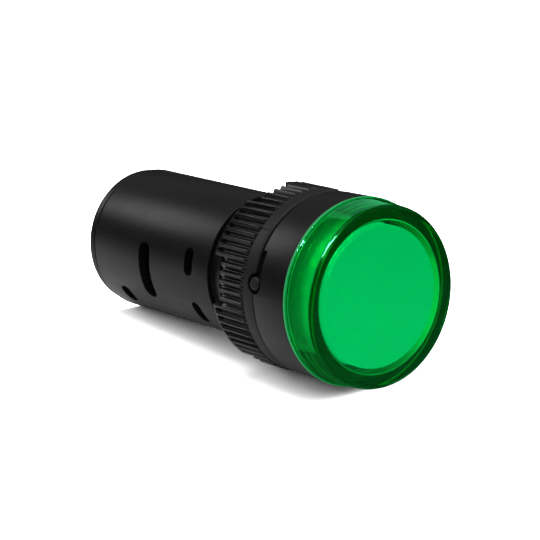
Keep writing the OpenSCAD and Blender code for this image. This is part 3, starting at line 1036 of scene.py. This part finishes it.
@dataclass
class Gasket:
    """Rubber ring behind the bezel, with its round locating nub."""

    front: float = -2.42
    bore_r: float = 11.2
    nub_r: float = 1.22
    nub_y: float = -2.6
    nub_angle: float = 101.0
    nub_rise: float = 0.12
    moat_r: float = 1.47
    moat_depth: float = 1.2
    nub_height: float = 1.6
    nub_dome: float = 0.7
    nub_foot: float = 0.4
    tick_angle: float = 135.0
    tick_reach: tuple[float, float] = (-2.2, -0.2)
    tick_w: float = 0.16
    tick_depth: float = 0.12

    def __post_init__(self) -> None:
        """Takes the ring's rear face and size from the frame."""
        self.rear = node_reach("mounting_nut")[0]
        self.outer_r = node_reach("gasket")[2] - self.nub_rise

    def ring(self) -> bpy.types.Object:
        """Models the ring with the moat round its nub and its mould line.

        Returns:
            The ring.
        """
        section = rounded([
            (self.bore_r, self.front, 0.1), (self.outer_r, self.front, 0.3),
            (self.outer_r, self.rear, 0.2), (self.bore_r, self.rear, 0.1),
        ])
        ring = revolve("gasket_ring", section)
        moat = radial_pin(
            "moat", self.nub_angle, self.nub_y, self.moat_r, self.outer_r - self.moat_depth, 2 * PAST
        )
        half, depth = self.tick_w / 2, self.tick_depth
        front, rear = self.tick_reach
        tick = block((-half, front, -self.outer_r - depth), (half, rear, -self.outer_r + depth))
        turn_about_axis(tick, self.tick_angle)
        return smooth(cut_away(ring, [moat, tick]))

    def nub(self) -> bpy.types.Object:
        """Models the nub with a domed top.

        Returns:
            The nub.
        """
        foot = self.outer_r + self.nub_rise - self.nub_height
        nub = radial_pin("locating_nub", 0, self.nub_y, self.nub_r, foot, self.nub_height)
        heights = [vertex.co.z for vertex in nub.data.vertices]
        top = min(heights) + SAME
        # the hidden end is narrower, so the nub stands in a dark gap
        pick(nub, "VERT", lambda vertex: vertex.co.z > top)
        narrow = (self.nub_foot, self.nub_foot, 1)
        bpy.ops.transform.resize(value=narrow, center_override=(0, self.nub_y * MM, 0))
        pick(nub, "EDGE", lambda edge: all(heights[i] < top for i in edge.vertices))
        bpy.ops.mesh.bevel(offset=self.nub_dome * MM, segments=7, affect="EDGES")
        bpy.ops.object.mode_set(mode="OBJECT")
        turn_about_axis(nub, self.nub_angle)
        return smooth(outward(nub))

    def build(self, material: bpy.types.Material) -> None:
        """Models the ring and the nub, and dresses them.

        Args:
            material: the gasket's rubber.
        """
        hand_over(self.ring(), Body.LIGHT, "gasket_rubber", material, "gasket")
        hand_over(self.nub(), Body.LIGHT, "gasket_rubber", material)


@dataclass
class LensCap:
    """Clear lens with the diffuser cup behind it."""

    face: float = 1.1
    edge: float = 0.8
    flange: float = 0.45
    front_r: float = 12.95
    skirt_r: float = 12.0
    bore_r: float = 11.0
    diffuser_r: float = 10.1
    diffuser_wall: float = 1.0
    gap: float = 0.1
    inset: float = 0.02
    taper: float = 0.2
    rim_depth: float = 0.3

    def __post_init__(self) -> None:
        """Takes the lens's place from the frame."""
        self.front, self.rear, self.rear_r = node_reach("lens")
        self.shoulder = node_reach("housing")[0]

    def lens(self) -> bpy.types.Object:
        """Models the lens as one closed thick-walled cap.

        Returns:
            The lens.
        """
        flange_r, flange_front = self.rear_r - self.inset, self.shoulder - self.flange
        section = rounded([
            (0.0, self.front, 0), (self.front_r, self.front, self.edge),
            (flange_r - self.taper, flange_front - self.taper, 0.1), (flange_r, flange_front, 0.12),
            (flange_r, self.shoulder, 0.12), (self.skirt_r, self.shoulder, 0),
            (self.skirt_r, self.rear, 0.1), (self.bore_r, self.rear, 0.1),
            (self.bore_r, self.front + self.face, 0.25), (0.0, self.front + self.face, 0),
        ], 8)
        return smooth(revolve("lens_cap", section))

    def rim(self) -> bpy.types.Object:
        """Models the painted-glow edge on the lens's flange.

        Returns:
            A thin ring set into the flange.
        """
        front, rear = self.shoulder - self.flange + self.inset, self.shoulder - self.inset / 2
        # it stands just proud of the flange and still inside the solid
        inner, outer = self.rear_r - self.rim_depth, self.rear_r - self.inset / 4
        section = rounded([(inner, front, 0), (outer, front, 0.08), (outer, rear, 0.05), (inner, rear, 0)])
        return smooth(revolve("lens_edge", section))

    def diffuser(self) -> bpy.types.Object:
        """Models the diffuser cup.

        Returns:
            The cup.
        """
        front, flange_front = self.front + self.face + self.gap, self.rear - self.flange
        flange_r, inner_r = self.bore_r - self.gap, self.diffuser_r - self.diffuser_wall
        section = rounded([
            (0.0, front, 0), (self.diffuser_r, front, 0.3), (self.diffuser_r, flange_front, 0.05),
            (flange_r, flange_front, 0.05), (flange_r, self.rear, 0.1), (inner_r, self.rear, 0.1),
            (inner_r, front + self.diffuser_wall, 0.3), (0.0, front + self.diffuser_wall, 0),
        ])
        return smooth(revolve("diffuser_cup", section))

    def build(
        self, clear: bpy.types.Material, milky: bpy.types.Material, edge: bpy.types.Material
    ) -> bpy.types.Object:
        """Models and dresses the pieces.

        Args:
            clear: the lens's acrylic.
            milky: the diffuser's plastic.
            edge: the lens's painted-glow edge.

        Returns:
            The lens.
        """
        pieces = [self.lens(), self.diffuser(), self.rim()]
        hand_over(pieces[0], Body.LIGHT, "lens_green", clear, "lens")
        hand_over(pieces[1], Body.LIGHT, "diffuser_green", milky, "diffuser")
        hand_over(pieces[2], Body.LIGHT, "lens_green", edge)
        for piece in pieces:
            # the lamp is not lit and its glow is painted, so its green is kept from spilling over the paper
            piece.visible_diffuse = False
        return pieces[0]


@dataclass
class TerminalCap:
    """Rear plug with a well and a wire slot for each terminal."""

    pitch: float = 9.0
    bore_r: float = 9.3
    rim_r: float = 10.5
    rim_gap: float = 0.5
    rim_gap_r: float = 9.8
    rim_round: float = 0.5
    well_r: float = 3.9
    well_floor: float = 35.2
    mouth: float = 0.25
    boss_r: float = 2.2
    boss_reach: tuple[float, float] = (-2.8, 0.2)
    wire_w: float = 3.2
    wire_reach: float = 6.2
    wire_floor: float = 36.0
    wire_flare: tuple[float, float, float] = (1.1, 1.0, 1.02)
    leg: tuple[float, float, float] = (2.9, 3.7, 2.4)

    def __post_init__(self) -> None:
        """Takes the cap's reach from the frame."""
        self.front, self.rear, _ = node_reach("terminal_cap")
        self.seat = node_reach("housing")[1] + 0.01

    def plug(self) -> bpy.types.Object:
        """Models the plug and its rim, with a shadow gap behind the barrel's end.

        Returns:
            The plug before its wells are cut.
        """
        section = rounded([
            (0.0, self.front, 0), (self.bore_r, self.front, 0.2), (self.bore_r, self.seat, 0),
            (self.rim_gap_r, self.seat, 0), (self.rim_gap_r, self.seat + self.rim_gap, 0),
            (self.rim_r, self.seat + self.rim_gap, 0.08), (self.rim_r, self.rear, self.rim_round),
            (0.0, self.rear, 0),
        ])
        return revolve("terminal_plug", section)

    def well(self, side: int) -> bpy.types.Object:
        """Makes the core of one round well with a chamfered mouth.

        Args:
            side: 1 or -1.

        Returns:
            The cutter.
        """
        above = self.mouth * 0.2
        core = revolve("well", [
            (0.0, self.well_floor), (self.well_r, self.well_floor), (self.well_r, self.rear - self.mouth),
            (self.well_r + self.mouth + above, self.rear + above), (0.0, self.rear + above),
        ])
        core.location = (side * self.pitch / 2 * MM, 0, 0)
        bake_place(core)
        return core

    def wire_slot(self, side: int) -> bpy.types.Object:
        """Makes the core of one wire slot, flared a little towards its mouth.

        Args:
            side: 1 or -1.

        Returns:
            The cutter.
        """
        middle, half = side * self.pitch / 2, self.wire_w / 2
        low = (middle - half, self.wire_floor, -self.wire_reach)
        core = block(low, (middle + half, self.rear + 0.3, 0.0))
        pick(core, "VERT", lambda vertex: vertex.co.y > self.rear * MM)
        bpy.ops.transform.resize(value=self.wire_flare, center_override=(middle * MM, 0, 0))
        bpy.ops.object.mode_set(mode="OBJECT")
        return core

    def build(self, material: bpy.types.Material) -> None:
        """Models, cuts and dresses the cap.

        Args:
            material: the cap's plastic.
        """
        near, far, width = self.leg
        cutters = []
        for side in (-1, 1):
            middle = side * self.pitch / 2
            cutters += [self.well(side), self.wire_slot(side)]
            ends = sorted((middle - side * near, middle - side * far))
            cutters.append(block(
                (ends[0], self.front - 0.2, -width / 2), (ends[1], self.well_floor + 0.1, width / 2)
            ))
            front, rear = (self.well_floor + reach for reach in self.boss_reach)
            cutters.append(post(middle, front, rear, self.boss_r))
        hand_over(smooth(cut_away(self.plug(), cutters)), Body.LIGHT, "cap_black", material, "terminal_cap")


@dataclass
class Internals:
    """The solids that keep their own meshes and only need their finish."""

    finishes: dict[str, Finish] = field(default_factory=lambda: {
        "led_board": BOARD_PAINTED_SHADE, "power_board": BOARD_PAPER, "film_capacitor": DIPPED_RESIN,
        "electrolytic_capacitor": SHRINK_SLEEVE, "bridge_rectifier": EPOXY_BLACK,
        "resistor": RESISTOR_LACQUER, "led": LAMP_RESIN, "board_pin": TINNED_COPPER,
        "terminal": TERMINAL_BRASS, "clamp_washer": ZINC_PLATE, "terminal_screw": ZINC_PLATE,
    })

    def build(self, replaced: set[str]) -> None:
        """Dresses every CAD node that no modelled piece stands for.

        Args:
            replaced: nodes that have a modelled piece.
        """
        made: dict[str, bpy.types.Material] = {}
        for name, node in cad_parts.items():
            if name in replaced:
                continue
            family = name if name in self.finishes else name.rsplit("_", 1)[0]
            finish = self.finishes[family]
            if finish.name not in made:
                made[finish.name] = finish.build()
            dress(node, made[finish.name])
            LOG.info("%s: finish %s", name, finish.name)


# ---------------------------------------------------------------- studio


@dataclass(frozen=True)
class Lamp:
    """One soft square lamp, aimed at the light; places and sizes in metres, power in watts."""

    name: str
    place: tuple[float, float, float]
    size: float
    power: float
    aim: tuple[float, float, float] = (0.0, 0.01, 0.0)

    def build(self) -> bpy.types.Object:
        """Hangs the lamp in the scene.

        Returns:
            The lamp.
        """
        data = bpy.data.lights.new(self.name, "AREA")
        data.shape = "SQUARE"
        data.size = self.size
        data.energy = self.power
        lamp = bpy.data.objects.new(self.name, data)
        lamp.location = self.place
        towards = Vector(self.aim) - Vector(self.place)
        lamp.rotation_euler = towards.to_track_quat("-Z", "Y").to_euler()
        bpy.context.scene.collection.objects.link(lamp)
        return lamp


@dataclass
class Studio:
    """Pale floor, soft lamps, white backdrop and the camera."""

    camera_mm: tuple[float, float, float] = (-195.14, -245.46, 80.30)
    camera_turn: tuple[float, float, float] = (75.940, 2.769, -37.989)
    focal_mm: float = 150.84
    sensor_mm: float = 36.0
    floor_size: float = 4.0
    floor_gain: float = 3.1
    fibre_mm: float = 10 / 9
    drop_mm: tuple[float, float] = (41.6, 43.4)
    drop_gap_mm: float = 0.2
    # the reach of the painted pool of light on the paper, across the axis, in metres
    card: tuple[float, float] = (0.02, 0.10)
    painted_falloff_share: float = 0.3
    horizon: tuple[float, float] = (0.15, 0.45)
    horizon_light: float = 0.05
    ceiling_light: float = 0.85
    back: tuple[float, float] = (0.2, 0.6)
    back_share: float = 0.2
    # above and behind: the long soft highlight along the barrel
    back_softbox: Lamp = Lamp("back_softbox", (-0.20, 0.51, 0.33), 0.22, 0.52)
    # over the table: the paper is brightest round the light
    top_softbox: Lamp = Lamp("top_softbox", (-0.10, -0.02, 0.52), 0.34, 1.1)
    # for the lens only: the white streaks on its rounded edge
    lens_snoot: Lamp = Lamp("lens_snoot", (-0.24, -0.19, 0.42), 0.2, 36.0)
    # for the lens only, from behind: the lighter top of its side wall
    lens_card: Lamp = Lamp("lens_card", (0.22, 0.40, 0.26), 0.4, 1.5)

    def floor_tilt(self) -> tuple[float, Vector]:
        """Finds how the light lies: on the nut's rear edge and the barrel's rear end.

        Returns:
            The floor's tilt in radians and a point on it, in metres.
        """
        nut, barrel = MountingNut(), Housing()
        nut_y, nut_r = nut.rear - nut.rest_inset, nut.outer_r
        end_y, end_r = barrel.barrel_rear - barrel.soft, barrel.barrel_r
        tilt = math.atan2(nut_r - end_r, end_y - nut_y)
        return tilt, Vector((0, nut_y * MM, -nut_r * MM))

    def paper(self) -> bpy.types.Material:
        """Makes the floor's paper, white to the camera and, to the light, pale with a painted pool of light
        round the part.

        Returns:
            The material.
        """
        material, tree, place = new_tree("matt_white_paper")
        tint = blend(tree, ("fbfbfb", "ffffff"), noise(tree, place, self.fibre_mm, 2.0))
        # painted light: to everything but the camera, the paper's colour fades away from the part's long
        # sides, a pool of light painted onto it
        side = add_node(tree, "ShaderNodeSeparateXYZ", links={"Vector": place}).outputs["X"]
        reach = add_node(tree, "ShaderNodeMath", links={0: side}, operation="ABSOLUTE").outputs["Value"]
        painted_light_pool = remap(tree, reach, self.card, (1.0, self.painted_falloff_share))
        lit = add_node(
            tree, "ShaderNodeVectorMath", links={0: tint, "Scale": painted_light_pool}, operation="SCALE"
        ).outputs["Vector"]
        card = add_node(tree, "ShaderNodeBsdfDiffuse", links={"Color": lit}).outputs["BSDF"]
        # the picture is exposed for the black body, so to the camera the paper burns out to white
        gain = (self.floor_gain, self.floor_gain, self.floor_gain, 1.0)
        exposed = add_node(tree, "ShaderNodeBsdfDiffuse", {"Color": gain}).outputs["BSDF"]
        seen = add_node(tree, "ShaderNodeLightPath").outputs["Is Camera Ray"]
        add_node(
            tree, "ShaderNodeOutputMaterial", links={"Surface": mix_shaders(tree, seen, card, exposed)}
        )
        return material

    def floor(self) -> None:
        """Lays the floor under the light."""
        tilt, point = self.floor_tilt()
        deselect()
        bpy.ops.mesh.primitive_plane_add(size=self.floor_size, location=point, rotation=(tilt, 0, 0))
        floor = bpy.context.object
        floor.name = "studio_floor"
        self.drop_behind(floor, point.z)
        dress(floor, self.paper())

    def drop_behind(self, floor: bpy.types.Object, level: float) -> None:
        """Steps the floor down behind the barrel, so that the nut has room to come off.

        Args:
            floor: the tilted floor.
            level: the height of the nut's rear edge, in metres.
        """
        bake_place(floor)
        start, end = self.drop_mm
        for y in (start, end):
            bpy.ops.object.mode_set(mode="EDIT")
            bpy.ops.mesh.select_all(action="SELECT")
            bpy.ops.mesh.bisect(plane_co=(0, y * MM, 0), plane_no=(0, 1, 0))
            bpy.ops.object.mode_set(mode="OBJECT")
        pick(floor, "VERT", lambda vertex: vertex.co.y > (start + end) / 2 * MM)
        lower = level - self.drop_gap_mm * MM
        bpy.ops.transform.resize(value=(1, 1, 0), center_override=(0, 0, lower))
        bpy.ops.object.mode_set(mode="OBJECT")

    def world(self) -> None:
        """Sets a backdrop that is white to the eye and a soft grey dome to the light."""
        world = bpy.data.worlds.new("white_studio")
        bpy.context.scene.world = world
        world.use_nodes = True
        tree = world.node_tree
        tree.nodes.clear()
        path = add_node(tree, "ShaderNodeLightPath").outputs
        heading = add_node(tree, "ShaderNodeTexCoord").outputs["Generated"]
        parts = add_node(tree, "ShaderNodeSeparateXYZ", links={"Vector": heading}).outputs
        # dark near the horizon, then a broad white ceiling that falls off behind
        rise = remap(tree, parts["Z"], self.horizon, (self.horizon_light, self.ceiling_light))
        front = remap(tree, parts["Y"], self.back, (1.0, self.back_share))
        light = add_node(
            tree, "ShaderNodeMath", links={0: rise, 1: front}, operation="MULTIPLY"
        ).outputs["Value"]
        dome = add_node(tree, "ShaderNodeBackground", {"Color": (1, 1, 1, 1)}, {"Strength": light})
        white = add_node(tree, "ShaderNodeBackground", {"Color": (1, 1, 1, 1), "Strength": 1.0})
        seen = add_node(
            tree, "ShaderNodeMath", operation="MAXIMUM",
            links={0: path["Is Camera Ray"], 1: path["Is Transmission Ray"]},
        ).outputs["Value"]
        backdrop = mix_shaders(tree, seen, dome.outputs["Background"], white.outputs["Background"])
        add_node(tree, "ShaderNodeOutputWorld", links={"Surface": backdrop})

    def lamps(self, lens: bpy.types.Object) -> None:
        """Hangs the lamps; two of them shine on the lens only.

        Args:
            lens: the piece that those two reach.
        """
        self.back_softbox.build()
        self.top_softbox.build()
        aimed_at = bpy.data.collections.new("lens_only")
        aimed_at.objects.link(lens)
        snoot, card = self.lens_snoot.build(), self.lens_card.build()
        card.visible_camera = card.visible_transmission = False
        for lamp in (snoot, card):
            lamp.light_linking.receiver_collection = aimed_at

    def camera(self) -> None:
        """Places the camera."""
        data = bpy.data.cameras.new("view")
        data.sensor_width = self.sensor_mm
        data.lens = self.focal_mm
        data.clip_start = 0.01
        camera = bpy.data.objects.new("view", data)
        camera.location = Vector(self.camera_mm) * MM
        camera.rotation_euler = Euler([math.radians(a) for a in self.camera_turn], "XYZ")
        bpy.context.scene.collection.objects.link(camera)
        bpy.context.scene.camera = camera

    def build(self, lens: bpy.types.Object) -> None:
        """Builds the whole studio.

        Args:
            lens: the piece that has lamps of its own.
        """
        bpy.context.scene.view_settings.view_transform = "Standard"
        self.floor()
        self.world()
        self.lamps(lens)
        self.camera()


# ---------------------------------------------------------------- assembly


def main() -> None:
    """Builds every sub-assembly in order."""
    logging.basicConfig(level=logging.INFO, format="%(message)s")
    plastic = HOUSING_PLASTIC.build()
    Housing().build(plastic)
    MountingNut().build(NUT_NYLON.build())
    Gasket().build(GASKET_RUBBER.build())
    lens = LensCap().build(LENS_ACRYLIC.build(), DIFFUSER_PAINTED_GLOW.build(), LENS_EDGE_PAINTED_GLOW.build())
    TerminalCap().build(plastic)
    Internals().build({"housing", "mounting_nut", "gasket", "lens", "diffuser", "terminal_cap"})
    Studio().build(lens)


if __name__ == "__main__":
    main()
